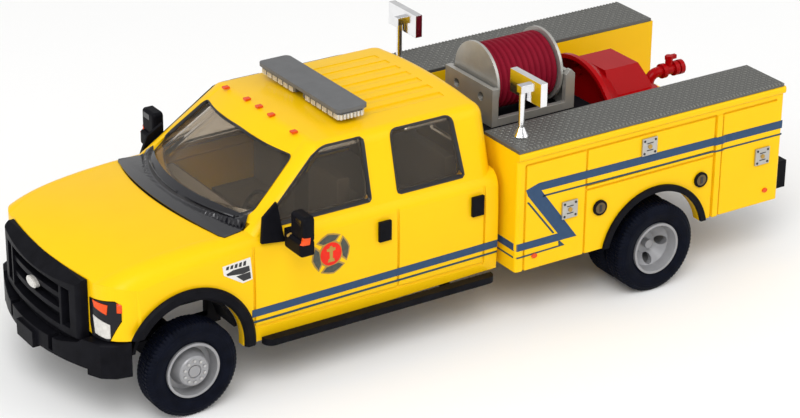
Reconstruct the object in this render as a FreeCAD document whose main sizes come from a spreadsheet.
"""Brush truck, a 1:87 moulded model: crew cab, service body, hose reel and pump.

Frame: +X forward, +Y to the truck's left, +Z up, millimetres.  The origin is on the
ground under the middle of the overall length.  Lengths along the truck are measured
from the front axle, forwards positive, and heights from the ground.
"""
import FreeCAD, Part
import Sketcher
import math
import os
from FreeCAD import Placement, Rotation, Vector

SIZES = {
    # overall
    "wheelbase": 51.4, "front_overhang": 10.9, "rear_overhang": 18.5,
    "wall": 0.9, "fit_gap": 0.05, "seam_width": 0.24, "seam_depth": 0.2,
    # wheels and axles
    "tyre_radius": 4.67, "tyre_width": 2.75, "bead_radius": 2.75,
    "bead_inset": 0.3, "sidewall_rise": 0.75, "tread_shoulder": 0.45, "shoulder_drop": 0.3,
    "rim_lip": 0.25, "rim_inset": 0.12, "rim_wall": 0.35, "rim_web": 0.5, "rim_back": 0.15,
    "front_tyre_face": 12.3, "rear_tyre_face": 14.4, "dual_spacing": 3.2,
    "boss_radius": 1.0, "hub_wall": 0.6, "hub_stand": 0.05, "hub_radius": 1.5,
    "hub_cap_radius": 0.56, "hub_groove": 0.12, "hub_slope": 0.35, "front_dish": 1.2,
    "rear_barrel_depth": 1.0, "rear_barrel_radius": 2.18, "rear_recess_depth": 1.95,
    "rear_recess_radius": 1.1, "rear_nose_radius": 0.44, "rear_nose_depth": 1.25,
    "bore_wall": 0.25, "hand_hole_radius": 0.5, "hand_hole_circle": 1.63,
    "hand_hole_count": 4, "pin_radius": 0.5, "pin_gap": 0.05,
    "axle_tube_radius": 0.95, "diff_radius": 2.1, "axle_end_gap": 0.2,
    "spring_width": 0.9, "spring_leaf": 0.9, "spring_half": 6.4,
    "spring_eye": 0.7, "spring_sink": 0.3, "spring_end_gap": 0.6,
    # ladder frame and running gear
    "rail_inner": 3.9, "rail_outer": 4.9, "rail_bottom": 7.4, "rail_top": 9.4,
    "frame_front": 6.9, "frame_rear": 66.0, "cross_width": 1.4, "cross_bottom": 7.9,
    "engine_front": 5.2, "engine_rear": -3.4, "engine_half": 3.3, "engine_bottom": 7.0,
    "engine_top": 13.6, "gearbox_half": 1.9, "gearbox_rear": -17.0, "gearbox_bottom": 6.3,
    "gearbox_top": 9.3, "shaft_radius": 0.55, "shaft_height": 7.0, "silencer_radius": 1.1,
    "silencer_front": -20.0, "silencer_rear": -29.0, "exhaust_offset": 6.5,
    "exhaust_height": 5.4, "tailpipe_radius": 0.4, "tailpipe_rear": -41.5,
    "fuel_front": -59.4, "fuel_rear": -65.4, "fuel_bottom": 5.0, "fuel_corner": 0.5,
    "shaft_drop": 0.9, "shaft_sink": 0.2, "tailpipe_sink": 2.0, "hanger_width": 0.8,
    "hanger_sink": 0.4, "hanger_hold": 0.5,
    # cab
    "cab_rear": -33.8, "rocker_front": 5.3, "rocker_rear": 6.0, "fender_bottom": 8.8,
    "cab_half": 11.6, "roof_height": 23.0, "roof_crown": 70.0,
    "roof_round": 1.4, "rear_window_lean": 0.6, "screen_crown": 0.45,
    "nose_front": 8.5, "nose_corner": 7.9, "nose_corner_half": 7.6,
    "fender_front": 5.0, "fender_front_half": 11.3, "arch_radius": 5.6,
    "arch_height": 5.9, "door_front": -6.8, "door_split": -22.4, "door_rear": -32.2,
    "door_bottom": 6.9, "groove_count": 7, "groove_pitch": 1.9, "groove_width": 0.95,
    "groove_depth": 0.1, "groove_front": -21.5, "groove_rear": -31.0,
    "window_sill": 16.3, "window_head": 22.12, "window_round": 0.45,
    "front_window_round": 3.0, "rear_window_round": 0.7,
    "front_window_nose": -7.9, "front_window_top": -14.9, "front_window_rear": -19.75,
    "rear_window_front": -22.75, "rear_window_rear": -30.2, "glass_recess": 0.22,
    "glass_thickness": 0.5, "screen_sill": 16.75, "screen_head": 21.3,
    "screen_sill_half": 9.4, "screen_head_half": 7.95, "back_window_half": 6.0,
    "back_window_sill": 17.2, "back_window_head": 21.2,
    "cowl_front": -2.5, "cowl_corner": -4.3, "cowl_half": 9.9, "cowl_thickness": 0.4,
    "handle_front": -20.1, "rear_handle_front": -30.6, "handle_length": 1.3,
    "handle_bottom": 12.3, "handle_top": 14.3, "handle_stand": 0.35,
    # cab inside
    "tub_half": 9.85, "tub_front": -5.2, "tub_rear": -32.4, "tub_floor": 9.5, "tub_wall": 0.6,
    "tub_top": 13.4, "dash_rear": -9.6, "dash_top": 15.1,
    "dash_set_in": 1.3, "dash_depth": 1.6, "seat_base": 12.0,
    "seat_half": 2.6, "seat_offset": 5.0, "seat_depth": 4.8, "seat_back": 1.3,
    "seat_back_top": 17.6, "front_seat": -13.2, "rear_seat": -24.6, "rear_bench_half": 8.6,
    "wheel_ring_radius": 1.9, "wheel_ring_section": 0.22, "steering_tilt": 28.0,
    "steering_x": -10.9, "steering_height": 14.9, "wheel_bar": 0.5, "wheel_bar_height": 0.3,
    "column_radius": 0.3, "column_length": 1.3,
    # grille, bumper, lamps
    "grille_front": 9.85, "grille_edge_front": 9.0, "grille_half": 7.5, "grille_top": 14.0,
    "grille_bottom": 8.2, "grille_round": 0.5, "brow_front": 10.2, "brow_low": 12.72,
    "slot_half": 4.76, "slot_height": 1.0, "slot_pitch": 1.5, "slot_count": 3,
    "slot_low": 8.75, "slot_floor": 8.8, "bar_recess": 0.2, "vent_inner": 5.1,
    "vent_outer": 6.3, "vent_low": 8.9, "vent_high": 12.75, "vent_floor": 8.65,
    "bumper_front": 10.6, "bumper_knee": 8.2, "bumper_knee_half": 10.0,
    "bumper_end": 5.6, "bumper_turn": 7.0, "bumper_turn_half": 10.85,
    "bumper_half": 11.1, "bumper_bottom": 5.75, "bumper_top": 7.4, "bumper_depth": 1.5,
    "bumper_corner_bottom": 5.2, "bumper_corner_top": 8.6, "bumper_corner_half": 8.6,
    "bumper_ramp_start": 5.0, "bumper_ramp_half": 7.6, "bumper_round": 0.4, "bumper_set_in": 0.6,
    "riser_half": 7.5, "riser_top": 8.13, "riser_set_back": 1.2, "plate_block_half": 1.65,
    "plate_block_bottom": 5.35, "plate_block_top": 6.95, "hook_offset": 4.0,
    "hook_width": 0.6, "hook_bottom": 6.0, "hook_depth": 0.9,
    "lamp_bottom": 8.7, "lamp_top": 12.8, "lamp_depth": 0.5,
    # flares, boards, mirrors
    "flare_radius": 6.75, "flare_face": 12.1, "flare_seat": 11.66, "flare_round": 0.25,
    "flare_rear_bottom": 5.4,
    "flare_front_bottom": 9.15, "board_front": -7.4, "board_rear": -33.0,
    "board_inner": 11.7, "board_width": 1.05, "board_bottom": 5.2, "board_top": 5.85,
    "board_stay": 0.8, "stay_count": 3, "stay_first": 2.8, "stay_pitch": 9.0,
    "stay_behind": 0.6, "stay_thickness": 0.5, "stay_drop": 0.35, "stay_rise": 1.6,
    "board_round": 0.9, "seat_round": 0.3, "mirror_x": -10.3,
    "mirror_depth": 1.1, "mirror_inner": 12.95, "mirror_outer": 15.4, "mirror_split": 16.2,
    "mirror_top": 18.6, "mirror_round": 0.35, "spotter_inner": 12.3, "spotter_bottom": 14.75,
    "spotter_depth": 1.4, "mirror_gap": 0.15, "arm_low": 15.1, "arm_high": 16.3,
    "arm_depth": 0.8, "sail_front": -7.5, "sail_rear": -9.9, "sail_bottom": 15.0,
    "sail_top": 18.6, "sail_inner": 11.52, "sail_top_inner": 10.62, "sail_thickness": 0.35,
    # roof
    "bar_front": -18.3, "bar_rear": -21.75, "bar_half": 7.3, "bar_bottom": 23.35,
    "bar_top": 24.35, "bar_slab": 0.35, "bar_corner": 0.55, "bar_set_back": 0.3,
    "bar_gap_half": 0.7, "bar_gap_depth": 0.9, "bar_foot_half": 5.0, "bar_foot_width": 1.2,
    "bar_foot_set_back": 0.8,
    "marker_x": -13.9, "marker_pitch": 2.25, "marker_outer": 6.3, "marker_length": 0.6,
    "marker_half": 0.26, "marker_height": 0.18,
    # service body
    "body_front": -34.5, "body_rear": -67.45, "body_half": 13.66, "body_bottom": 6.1,
    "body_top": 18.55, "bed_half": 7.9, "bed_floor": 10.9, "bed_front_top": 14.5,
    "tailgate_top": 11.6, "body_round": 0.35, "body_arch_radius": 5.95,
    "body_arch_height": 4.75, "trim_width": 0.65, "trim_stand": 0.3,
    "corner_post": 0.95, "front_seam": -42.7, "rear_seam": -58.65, "pillar_width": 0.9,
    "pillar_stand": 0.12, "middle_door_low": 13.4, "door_ledge": 0.5, "seam_top": 17.2,
    "top_plate": 0.35, "lip_height": 0.8, "lip_stand": 0.2, "lip_round": 0.28,
    "plate_set_in": 0.25, "frame_slot": 0.6,
    "latch_size": 1.8, "latch_stand": 0.22, "front_latch": -40.7, "rear_latch": -64.9,
    "low_latch": 11.45, "middle_latch": -50.2, "high_latch": 15.9,
    "filler_radius": 0.8, "filler_stand": 0.2, "front_filler": -44.4, "rear_filler": -57.0,
    "filler_height": 10.7, "tail_lamp_half": 0.75, "tail_lamp_bottom": 9.6,
    "tail_lamp_top": 13.6, "tail_lamp_offset": 11.6, "tail_lamp_stand": 0.35,
    "well_thickness": 0.35, "well_inner": 8.05, "rear_well_end": 0.5, "front_well_inner": 7.4,
    # skid: tank, reel, pump
    "tank_front": -36.3, "tank_rear": -60.6, "tank_half": 7.2, "tank_top": 17.0,
    "tank_step": -50.2, "tank_low_top": 14.6,
    "reel_front": -38.95, "reel_rear": -46.9, "reel_radius": 3.75, "reel_height": 20.75,
    "flange_thickness": 0.3, "hose_radius": 3.4, "hose_rings": 11, "drum_radius": 1.6,
    "reel_plate_front": -38.1, "reel_plate": 0.5, "reel_plate_top": 21.0,
    "reel_frame_half": 4.1, "rail_rise": 0.8, "rail_width": 0.55, "reel_post_rear": -48.1,
    "reel_post": 1.1, "reel_post_top": 21.2, "post_chamfer": 0.45,
    "gusset_length": 0.75, "plate_hole_radius": 0.45, "plate_hole_offset": 2.1,
    "plate_hole_height": 19.7, "bearing_half": 0.9,
    "pump_front": -51.2, "pump_rear": -58.4, "pump_half": 4.6, "pump_top": 19.3,
    "pump_top_half": 2.3, "pump_foot_half": 3.6, "pump_plinth_top": 16.9,
    "pump_slope_front": -57.5, "pump_slope_low": 17.4, "pump_plinth_gap": 0.5,
    "arch_ring_radius": 7.0, "arch_ring_height": 13.4,
    "arch_ring_wall": 0.45, "arch_ring_width": 2.3, "arch_rim": 0.5, "arch_back_radius": 5.7,
    "pump_cap_radius": 0.45, "pump_cap_height": 17.9, "pump_cap_offset": -1.9,
    "manifold_x": -60.9, "manifold_radius": 0.55, "manifold_height": 16.5,
    "manifold_bend": 1.0, "manifold_end": -65.15, "flange_radius": 0.93,
    "flange_height": 0.5, "collar_radius": 0.78, "collar_length": 0.5,
    "valve_x": -63.45, "valve_top": 18.05, "valve_radius": 0.4, "handle_bar": 0.42,
    # scene lights, rear bumper
    "light_x": -37.2, "light_offset": 10.7, "light_half": 2.5, "light_bottom": 22.6,
    "light_top": 24.95, "light_depth": 0.75, "post_radius": 0.3, "post_foot_radius": 0.75,
    "post_foot_height": 0.9, "knuckle": 0.75, "post_set_back": 0.35,
    "step_front": -67.6, "step_half": 12.0, "step_bottom": 6.2, "step_top": 9.2,
    "step_notch_half": 3.2, "step_notch": 1.0, "notch_depth": 0.9,
}

# Places and proportions of the moulded cab, used with the sizes above.
CROSS_MEMBERS = (-18.6, -34.0, -43.6, -57.6)
HANGERS = (-22.5, -27.5)
# Sections of the lower cab: place, loss of half width, shoulder height, crease (half width
# and height), crown height, and how far the shoulder is tucked in.
SECTIONS = (
    (9.2, 0.2, 11.6, (8.0, 12.9), 13.3, 1.0),
    (6.6, 0.15, 13.0, (8.9, 14.7), 15.2, 0.9),
    (3.0, 0.1, 13.9, (9.3, 15.6), 16.1, 0.75),
    (-1.5, 0.05, 14.3, (9.5, 16.0), 16.5, 0.6),
    (-6.5, 0.0, 14.6, (10.0, 16.1), 16.8, 0.55),
    (-12.0, 0.0, 14.7, (10.6, 16.1), 16.9, 0.55))
WING_BEND = (7.3, 10.0)                 # the wing's plan: place and half width
PLAN_START = 3.0
# The cab above the belt: each measure at the belt, its loss for a millimetre of height, and
# its loss for a millimetre of inset.
BELT = 15.5
GREENHOUSE = {
    "side": (11.08, 0.2587, 1.03), "nose": (-2.42, 1.55, 1.85), "corner": (-5.86, 1.238, 1.6),
    "corner_half": (9.84, 0.338, 1.0), "pillar": (-7.1, 1.2, 1.4)}
BACK_LEAN, BACK_CORNER, PILLAR_SWELL = 0.02, 1.6, (0.18, 0.22)
BELT_LOW, LOFT_TOP = 14.6, 23.6
ROUNDED_SKIN, ROOF_EDGE, ROOF_FALL = 0.3, 21.8, 1.6
WINDOW_NOSE_GROWTH, PANE_FROM, PANE_DEPTH = 1.6, 7.0, 5
SCREEN_REACH = (-13.6, 14)              # rear end and length of the windscreen's cutter
GLASS_LOW, GLASS_HOLLOW, GLASS_OVER = 15.95, 15.0, 0.25
COWL_REAR, COWL_LOW, COWL_TALL = (-7.6, -5.2), 14, 4
BRACE_LOW, FRAME_GAP = 16.6, 0.3
SEAM_TOPS = (15.0, 15.6, 15.6)          # of the front, middle and rear door cut
LAMP_ACROSS, LAMP_ALONG, LAMP_STAND = (7.75, 10.85), (5.9, 9.5), 0.06


class Size:
    """A number together with the spreadsheet expression that gives it."""

    def __init__(self, value, text):
        self.value = value
        self.text = text

    def __add__(self, other):
        return Size(self.value + number(other), "(%s + %s)" % (self.text, text(other)))

    def __radd__(self, other):
        return self + other

    def __sub__(self, other):
        return Size(self.value - number(other), "(%s - %s)" % (self.text, text(other)))

    def __rsub__(self, other):
        return Size(number(other) - self.value, "(%s - %s)" % (text(other), self.text))

    def __mul__(self, other):
        return Size(self.value * number(other), "(%s * %s)" % (self.text, text(other)))

    def __rmul__(self, other):
        return self * other

    def __truediv__(self, other):
        return Size(self.value / number(other), "(%s / %s)" % (self.text, text(other)))

    def __neg__(self):
        return Size(-self.value, "(0 - %s)" % self.text)


def number(size):
    return size.value if isinstance(size, Size) else float(size)


def text(size):
    return size.text if isinstance(size, Size) else "%.9g" % size


def bind(thing, **sizes):
    """Tie each named property of thing to its size."""
    for name, size in sizes.items():
        path = name.replace("_", ".") if name.startswith("Placement") else name
        if isinstance(size, Size):
            thing.setExpression(path, size.text)
        elif not name.startswith("Placement"):
            setattr(thing, name, size)


class Sheet:
    """The driving sizes, each one a cell of the document's spreadsheet."""

    def __init__(self, document, sizes):
        cells = document.addObject("Spreadsheet::Sheet", "Sizes")
        for row, (name, value) in enumerate(sizes.items(), start=1):
            cells.set("A%d" % row, name)
            cells.set("B%d" % row, repr(value))
            cells.setAlias("B%d" % row, name)
            setattr(self, name, Size(value, "Sizes." + name))
        document.recompute()


doc = FreeCAD.newDocument("brush_truck")
s = Sheet(doc, SIZES)
NODES = []

front_axle = (s.front_overhang + s.wheelbase + s.rear_overhang) / 2 - s.front_overhang
rear_axle = front_axle - s.wheelbase


def along(size):
    """Place along the truck of a size measured from the front axle."""
    return front_axle + size


def node(name, thing):
    """Make thing the sub-part called name."""
    thing.Label = name
    NODES.append((name, thing))
    return thing


# ---- primitives and booleans -------------------------------------------------------

def place(thing, spot, rotation=None):
    thing.Placement = Placement(Vector(*[number(v) for v in spot]), rotation or Rotation())
    bind(thing, Placement_Base_x=spot[0], Placement_Base_y=spot[1], Placement_Base_z=spot[2])
    return thing


def block(xs, ys, zs):
    """A box between two places on each axis, the lower one first."""
    thing = doc.addObject("Part::Box", "block")
    bind(thing, Length=xs[1] - xs[0], Width=ys[1] - ys[0], Height=zs[1] - zs[0])
    return place(thing, (xs[0], ys[0], zs[0]))


TURN = {"x": Rotation(Vector(0, 1, 0), 90), "y": Rotation(Vector(1, 0, 0), -90), "z": Rotation()}


def rod(axis, radius, start, length):
    """A round bar from start, length along +axis."""
    thing = doc.addObject("Part::Cylinder", "rod")
    bind(thing, Radius=radius, Height=length)
    return place(thing, start, TURN[axis])


def cone(axis, radii, start, length):
    thing = doc.addObject("Part::Cone", "cone")
    bind(thing, Radius1=radii[0], Radius2=radii[1], Height=length)
    return place(thing, start, TURN[axis])


def fuse(*things):
    thing = doc.addObject("Part::MultiFuse", "fuse")
    thing.Shapes = list(things)
    thing.Refine = True
    return thing


def cut(base, *tools):
    thing = doc.addObject("Part::Cut", "cut")
    thing.Base = base
    thing.Tool = tools[0] if len(tools) == 1 else fuse(*tools)
    return thing


def group(*things):
    """Like pieces that don't touch, kept as one sub-part."""
    thing = doc.addObject("Part::Compound", "group")
    thing.Links = list(things)
    return thing


def shaped(shape):
    """A sub-part whose form is worked out by this file from the sheet's sizes."""
    thing = doc.addObject("Part::Feature", "form")
    thing.Shape = shape
    return thing


def rounded(thing, radius, chosen, kind="Part::Fillet"):
    """Round, or with Part::Chamfer bevel, the edges of thing that chosen picks."""
    doc.recompute()
    picked = [(i + 1, number(radius), number(radius))
              for i, edge in enumerate(thing.Shape.Edges) if chosen(edge)]
    fillet = doc.addObject(kind, "rounded")
    fillet.Base = thing
    fillet.Edges = picked
    return fillet


def runs_along(axis):
    """Picks the straight edges that run along an axis."""
    want = {"x": Vector(1, 0, 0), "y": Vector(0, 1, 0), "z": Vector(0, 0, 1)}[axis]

    def chosen(edge):
        if not isinstance(edge.Curve, (Part.Line, Part.LineSegment)):
            return False
        return abs(abs(edge.tangentAt(edge.FirstParameter).dot(want)) - 1) < 1e-6
    return chosen


# ---- sketched bodies ---------------------------------------------------------------

def sketched(body, plane, points, circles=()):
    """A sketch on one of the body's own planes: a closed outline and round holes.

    Each point is (across, up), or (across, up, radius) where the edge that ends there is
    an arc: a positive radius bulges to the right of its direction of travel.
    """
    sketch = body.newObject("Sketcher::SketchObject", "sketch")
    sketch.AttachmentSupport = [(feature, "") for feature in body.Origin.OriginFeatures
                                if feature.Role == plane]
    sketch.MapMode = "FlatFace"
    spots = [Vector(number(p[0]), number(p[1]), 0) for p in points]
    ends = [add_edge(sketch, spots[i - 1], spots[i], number(p[2]) if len(p) == 3 else 0)
            for i, p in enumerate(points)]
    for i, point in enumerate(points):
        after = (i + 1) % len(points)
        sketch.addConstraint(
            Sketcher.Constraint("Coincident", i, ends[i], after, 3 - ends[after]))
        pin(sketch, i, ends[i], point)
        if len(point) == 3:
            radius = point[2] if number(point[2]) > 0 else -point[2]
            held = sketch.addConstraint(Sketcher.Constraint("Radius", i, number(radius)))
            tie(sketch, held, radius)
    for x, y, radius in circles:
        circle = Part.Circle(Vector(number(x), number(y), 0), Vector(0, 0, 1), number(radius))
        index = sketch.addGeometry(circle, False)
        pin(sketch, index, 3, (x, y))
        held = sketch.addConstraint(Sketcher.Constraint("Radius", index, number(radius)))
        tie(sketch, held, radius)
    return sketch


def add_edge(sketch, start, end, radius):
    """Add a line, or an arc if there is a radius, and say which of its ends is the far one."""
    if not radius:
        sketch.addGeometry(Part.LineSegment(start, end), False)
        return 2
    chord = end - start
    side = Vector(chord.y, -chord.x, 0).normalize()
    across = math.sqrt(max(radius * radius - chord.Length ** 2 / 4, 0))
    centre = (start + end) * 0.5 - side * math.copysign(across, radius)
    first, last = (start, end) if radius > 0 else (end, start)
    angles = [math.atan2(p.y - centre.y, p.x - centre.x) for p in (first, last)]
    circle = Part.Circle(centre, Vector(0, 0, 1), abs(radius))
    sketch.addGeometry(Part.ArcOfCircle(circle, angles[0], angles[1]), False)
    return 2 if radius > 0 else 1


def tie(sketch, constraint, size):
    if isinstance(size, Size):
        sketch.setExpression("Constraints[%d]" % constraint, size.text)


def pin(sketch, geometry, end, point):
    """Hold one end of an edge at its place."""
    for kind, size in (("DistanceX", point[0]), ("DistanceY", point[1])):
        held = sketch.addConstraint(Sketcher.Constraint(kind, -1, 1, geometry, end, number(size)))
        tie(sketch, held, size)


def new_body(name):
    return doc.addObject("PartDesign::Body", name)


def padded(body, plane, points, start, length, circles=()):
    """Pad an outline, from start along the plane's normal."""
    sketch = sketched(body, plane, points, circles)
    sketch.AttachmentOffset = Placement(Vector(0, 0, number(start)), Rotation())
    if isinstance(start, Size):
        sketch.setExpression("AttachmentOffset.Base.z", start.text)
    pad = body.newObject("PartDesign::Pad", "pad")
    pad.Profile = sketch
    bind(pad, Length=length)
    return pad


def pocketed(body, plane, points, start, length, circles=()):
    """Cut an outline out, from start along the plane's normal."""
    sketch = sketched(body, plane, points, circles)
    sketch.AttachmentOffset = Placement(Vector(0, 0, number(start)), Rotation())
    if isinstance(start, Size):
        sketch.setExpression("AttachmentOffset.Base.z", start.text)
    pocket = body.newObject("PartDesign::Pocket", "pocket")
    pocket.Profile = sketch
    pocket.Reversed = True
    bind(pocket, Length=length)
    return pocket


def revolved(name, axis, points):
    """A turned piece: each point is (place along the axis, distance from it)."""
    body = new_body(name)
    flipped = [(p[1], p[0]) + tuple(-r for r in p[2:]) for p in points]
    outline = points if axis == "H_Axis" else flipped
    sketch = sketched(body, "XY_Plane", outline)
    turned = body.newObject("PartDesign::Revolution", "turned")
    turned.Profile = sketch
    turned.ReferenceAxis = (sketch, [axis])
    turned.Angle = 360
    return body


# ---- wheels ------------------------------------------------------------------------

def wheel_place(body, axle, face, side):
    """Stand a wheel piece turned about +Y from its inner face on an axle."""
    inner = face - s.tyre_width
    turn = Rotation() if side > 0 else Rotation(Vector(0, 0, 1), 180)
    return place(body, (axle, inner if side > 0 else -inner, s.tyre_radius), turn)


def tyre(name, axle, face, side):
    width, radius, bead = s.tyre_width, s.tyre_radius, s.bead_radius
    bulge, shoulder = bead + s.sidewall_rise, s.tread_shoulder
    body = revolved(name, "V_Axis", [
        (s.bead_inset, bead), (0, bulge), (shoulder, radius), (width - shoulder, radius),
        (width, radius - s.shoulder_drop * 2), (width, bulge), (width - s.bead_inset, bead)])
    return node(name, wheel_place(body, axle, face, side))


def front_section():
    """Half section of a front rim: places across the axle from the tyre's inner side, and
    distances from the axis.  The hub stands out through the dish to the tyre's face."""
    lip, barrel = s.tyre_width - s.rim_inset, s.bead_radius - s.fit_gap
    inside, floor = barrel - s.rim_wall, s.tyre_width - s.rim_inset - s.front_dish
    hub, cap, groove = s.tyre_width + s.hub_stand, s.hub_cap_radius, s.hub_groove
    bore, bore_end = s.pin_radius + s.fit_gap, s.tyre_width + s.hub_stand - s.hub_wall
    outline = [(s.rim_back, bore), (s.rim_back, s.boss_radius),
               (floor - s.rim_web, s.boss_radius), (floor - s.rim_web, inside),
               (s.rim_back, inside), (s.rim_back, barrel), (lip, barrel),
               (lip, barrel - s.rim_lip), (floor, inside - s.fit_gap),
               (floor, s.hub_radius + s.hub_slope), (hub - s.hub_groove, s.hub_radius),
               (hub, s.hub_radius - s.hub_groove), (hub, cap + groove),
               (hub - groove, cap + groove), (hub - groove, cap), (hub, cap), (hub, 0),
               (bore_end, 0), (bore_end, bore)]
    return outline, bore_end


def rear_section():
    """Half section of a rear rim, which carries two tyres: its dish falls in to the hub."""
    lip, barrel = s.tyre_width - s.rim_inset, s.bead_radius - s.fit_gap
    inside, back = barrel - s.rim_wall, s.rim_back - s.dual_spacing
    recess, nose = lip - s.rear_recess_depth, lip - s.rear_nose_depth
    bore, bore_end = s.pin_radius + s.fit_gap, lip - s.rear_recess_depth - s.bore_wall
    outline = [(back, bore), (back, s.boss_radius), (recess - s.rim_web, s.boss_radius),
               (lip - s.rear_barrel_depth - s.rim_web, inside), (back, inside),
               (back, barrel), (lip, barrel), (lip, barrel - s.rim_lip),
               (lip - s.rear_barrel_depth, s.rear_barrel_radius),
               (recess, s.rear_recess_radius), (recess, s.rear_nose_radius),
               (nose, s.rear_nose_radius), (nose, 0), (bore_end, 0), (bore_end, bore)]
    return outline, bore_end


def hand_holes(rim):
    """Cut the round hand holes through the web of a rear rim."""
    lip = s.tyre_width - s.rim_inset
    hole = pocketed(rim, "XZ_Plane", [], -lip, s.rear_recess_depth + s.rim_web * 2,
                    [(s.hand_hole_circle, 0, s.hand_hole_radius)])
    pattern = rim.newObject("PartDesign::PolarPattern", "holes")
    pattern.Originals = [hole]
    pattern.Axis = (hole.Profile[0], ["N_Axis"])
    pattern.Angle = 360
    bind(pattern, Occurrences=s.hand_hole_count)
    rim.Tip = pattern


def wheelset(which, axle, face, dual):
    section, bore_end = rear_section() if dual else front_section()
    half = face - s.tyre_width + bore_end - s.fit_gap
    node(which + "_axle_pin",
         rod("y", s.pin_radius, (axle, -half, s.tyre_radius), half * 2))
    for side in (1, -1):
        name = which + "_rim_" + hand(side)
        rim = revolved(name, "V_Axis", section)
        if dual:
            hand_holes(rim)
            tyre("rear_tyre_outer_" + hand(side), axle, face, side)
            tyre("rear_tyre_inner_" + hand(side), axle, face - s.dual_spacing, side)
        else:
            tyre("front_tyre_" + hand(side), axle, face, side)
        node(name, wheel_place(rim, axle, face, side))


def axle_housing(name, axle, half, differential):
    """Axle tube with its springs, bored for the pin."""
    height = s.tyre_radius
    tube = rod("y", s.axle_tube_radius, (axle, -half, height), half * 2)
    bore = rod("y", s.pin_radius + s.pin_gap, (axle, -half - 1, height), half * 2 + 2)
    wide, narrow = (s.diff_radius * turn(math.radians(22.5)) for turn in (math.cos, math.sin))
    ball = revolved("differential", "V_Axis", [
        (-wide, 0), (-wide, narrow), (-narrow, wide), (narrow, wide), (wide, narrow), (wide, 0)])
    place(ball, (axle, differential, height))
    pieces = [tube, ball]
    near = s.rail_outer + s.fit_gap
    for side in (1, -1):
        ys = (near, near + s.spring_width) if side > 0 else (-near - s.spring_width, -near)
        low = height + s.axle_tube_radius - s.spring_sink
        pieces.append(block((axle - s.spring_half, axle + s.spring_half), ys,
                            (low, low + s.spring_leaf)))
        for end in (-1, 1):
            middle = axle + end * (s.spring_half - s.spring_eye)
            pieces.append(block((middle - s.spring_eye, middle + s.spring_eye), ys,
                                (low, s.rail_top - s.spring_end_gap)))
    return node(name, cut(fuse(*pieces), bore))


# ---- frame and running gear --------------------------------------------------------

def chassis_frame():
    rails = [block((along(-s.frame_rear), along(s.frame_front)), ys, (s.rail_bottom, s.rail_top))
             for ys in ((s.rail_inner, s.rail_outer), (-s.rail_outer, -s.rail_inner))]
    places = [s.frame_front - s.cross_width, *CROSS_MEMBERS,
              s.cross_width - s.frame_rear - s.cross_width]
    crosses = [block((along(x), along(x + s.cross_width)), (-s.rail_outer, s.rail_outer),
                     (s.cross_bottom, s.rail_top)) for x in places]
    return node("chassis_frame", fuse(*rails, *crosses))


def driveline():
    engine = block((along(s.engine_rear), along(s.engine_front)),
                   (-s.engine_half, s.engine_half), (s.engine_bottom, s.engine_top))
    gearbox = block((along(s.gearbox_rear), along(s.engine_rear)),
                    (-s.gearbox_half, s.gearbox_half), (s.gearbox_bottom, s.gearbox_top))
    shaft_end = rear_axle + s.diff_radius + s.fit_gap
    shaft = rod("x", s.shaft_radius, (shaft_end, 0, s.shaft_height - s.shaft_drop),
                along(s.gearbox_rear) - shaft_end + s.shaft_sink)
    return node("driveline", fuse(engine, gearbox, shaft))


def exhaust():
    y, z = -s.exhaust_offset, s.exhaust_height
    silencer = rod("x", s.silencer_radius, (along(s.silencer_rear), y, z),
                   s.silencer_front - s.silencer_rear)
    pipe = rod("x", s.tailpipe_radius, (along(s.tailpipe_rear), y, z),
               s.silencer_front - s.tailpipe_rear + s.tailpipe_sink)
    hangers = [block((along(x), along(x) + s.hanger_width),
                     (y + s.hanger_sink, -s.rail_outer + s.hanger_hold),
                     (z, s.rail_bottom - s.fit_gap)) for x in HANGERS]
    return node("exhaust", fuse(silencer, pipe, *hangers))


def fuel_tank():
    inner = s.rail_inner - s.fit_gap
    tank = block((along(s.fuel_rear), along(s.fuel_front)), (-inner, inner),
                 (s.fuel_bottom, s.cross_bottom - s.fit_gap))
    return node("fuel_tank", rounded(tank, s.fuel_corner, runs_along("x")))


# ---- cab ---------------------------------------------------------------------------

def curve(points):
    spline = Part.BSplineCurve()
    spline.interpolate(points)
    return spline.toShape()


def arc(start, middle, end):
    return Part.Arc(start, middle, end).toShape()


def line(start, end):
    return Part.LineSegment(start, end).toShape()


def prism(points, axis, low, high):
    """Extrude an outline of flat points, (across, up) seen along axis, between two places."""
    at = {"x": lambda a, b: Vector(low, a, b), "y": lambda a, b: Vector(a, low, b),
          "z": lambda a, b: Vector(a, b, low)}[axis]
    way = {"x": Vector(1, 0, 0), "y": Vector(0, 1, 0), "z": Vector(0, 0, 1)}[axis]
    spots = [at(a, b) for a, b in points]
    face = Part.Face(Part.makePolygon(spots + spots[:1]))
    return face.extrude(way * (high - low))


FA = front_axle.value


def lower_section(x, half, shoulder, crease, crown, tuck, inset):
    """The wire of the cab's lower body at one place along the truck."""
    low = 3.0 if not inset else 1.0
    half, (crease_y, crease_z) = half - inset, crease
    shoulder, crease_z, crown = shoulder - inset * 0.4, crease_z - inset, crown - inset
    crease_y -= inset * 0.5
    right = []
    for side in (1, -1):
        right.append([Vector(x, side * (half - 0.45), low), Vector(x, side * half, 9.5),
                      Vector(x, side * (half - 0.12), shoulder),
                      Vector(x, side * (half - tuck), (shoulder + crease_z) / 2 + 0.3),
                      Vector(x, side * crease_y, crease_z)])
    top = Vector(x, 0, crown)
    edges = []
    for side, points in zip((1, -1), right):
        walls = [curve(points[:3]), arc(points[2], points[3], points[4])]
        edges.append(walls)
    crown_edge = arc(right[0][4], top, right[1][4])
    bottom = line(right[1][0], right[0][0])
    return Part.Wire([edges[0][0], edges[0][1], crown_edge, edges[1][1], edges[1][0], bottom])


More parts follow.
